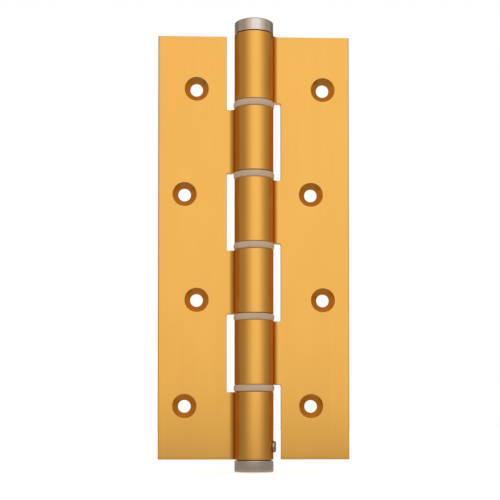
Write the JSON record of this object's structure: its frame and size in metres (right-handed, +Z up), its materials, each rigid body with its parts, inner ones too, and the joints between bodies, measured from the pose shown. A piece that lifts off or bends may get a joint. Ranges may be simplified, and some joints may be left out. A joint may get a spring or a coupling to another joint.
{
  "type": "spring hinge",
  "caption": "Self-closing door hinge, open flat: two countersunk leaves, an interleaved barrel with nylon washers, end caps and a lower tension adjuster held by a stop pin.",
  "frame": {"origin": "on the pivot axis, halfway up the barrel, which is the centre of the bounding box", "axes": "+Z up along the pivot axis, +X along the frame leaf, -Y the way the countersunk faces look"},
  "size_m": [0.0812, 0.0172, 0.191],
  "materials": {
    "gold_anodised": "satin",
    "nylon": "matte",
    "nickel_plate": "polished",
    "pin_steel": "satin",
    "spring_steel": "oiled"
  },
  "bodies": {
    "frame_side": {"frame_leaf": "gold_anodised", "washer_1": "nylon", "washer_2": "nylon", "washer_3": "nylon", "washer_4": "nylon", "washer_5": "nylon", "pivot_tube": "pin_steel", "top_plug": "nickel_plate", "anchor_pin": "pin_steel", "spindle": "pin_steel", "torsion_spring": "spring_steel"},
    "door_side": {"door_leaf": "gold_anodised", "tension_adjuster": "nickel_plate"},
    "stop_pin": {"stop_pin": "pin_steel"}
  },
  "joints": [
    {"name": "leaf_swing", "type": "hinge", "parent": "frame_side", "child": "door_side", "pos_m": [0, 0, 0], "axis": [0, 0, 1], "range_deg": [0, 180], "stiffness_Nm_per_rad": 0.25, "springref_deg": 180, "deforming": ["torsion_spring"]},
    {"name": "stop_pin_slide", "type": "slide", "parent": "door_side", "child": "stop_pin", "axis": [0.9781, -0.2079, 0], "range_m": [0, 0.005]}
  ]
}
